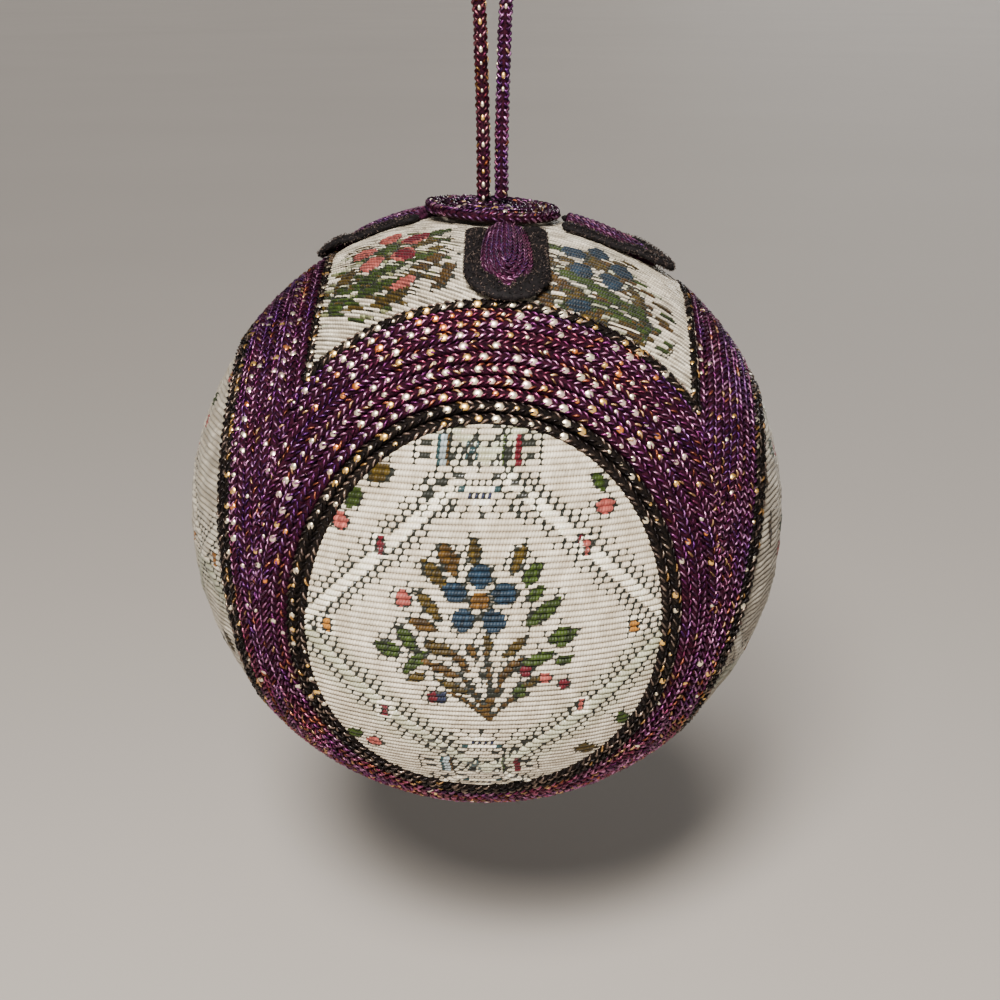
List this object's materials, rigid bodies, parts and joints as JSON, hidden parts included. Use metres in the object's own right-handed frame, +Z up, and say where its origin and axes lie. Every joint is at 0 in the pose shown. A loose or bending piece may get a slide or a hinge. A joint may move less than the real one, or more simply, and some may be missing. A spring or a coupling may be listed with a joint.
{
  "type": "temari-style ball ornament",
  "caption": "Ball ornament with oval flowered brocade patches, each ringed by rows of purple and black metallic cord, a flat cord cap and a doubled cord hanging loop.",
  "frame": {"origin": "inside top of the hanging loop, where a peg or hook takes it", "axes": "+Z up along the hanging loop, -Y towards the front patch, +X to the right of the front patch"},
  "size_m": [0.0791, 0.0794, 0.122],
  "materials": {
    "foam": "padded foam ball, hidden",
    "brocade": "cream satin-ribbed brocade with woven flowers",
    "purple_cord": "knitted metallic cord, purple with gold glints",
    "black_cord": "knitted metallic cord, black with gold glints"
  },
  "bodies": {
    "root": {"ball": "foam", "patch_front": "brocade", "patch_right": "brocade", "patch_back": "brocade", "patch_left": "brocade", "cloth_top": "brocade", "cloth_bottom": "brocade", "inner_front": "black_cord", "inner_right": "black_cord", "inner_back": "black_cord", "inner_left": "black_cord", "purple_front": "purple_cord", "purple_right": "purple_cord", "purple_back": "purple_cord", "purple_left": "purple_cord", "outer_top_front": "black_cord", "outer_top_right": "black_cord", "outer_top_back": "black_cord", "outer_top_left": "black_cord", "outer_low_front": "black_cord", "outer_low_right": "black_cord", "outer_low_back": "black_cord", "outer_low_left": "black_cord", "cap": "purple_cord", "petal_front": "purple_cord", "petal_right": "purple_cord", "petal_back": "purple_cord", "petal_left": "purple_cord", "border_front": "black_cord", "border_right": "black_cord", "border_back": "black_cord", "border_left": "black_cord", "loop": "purple_cord"}
  },
  "joints": []
}
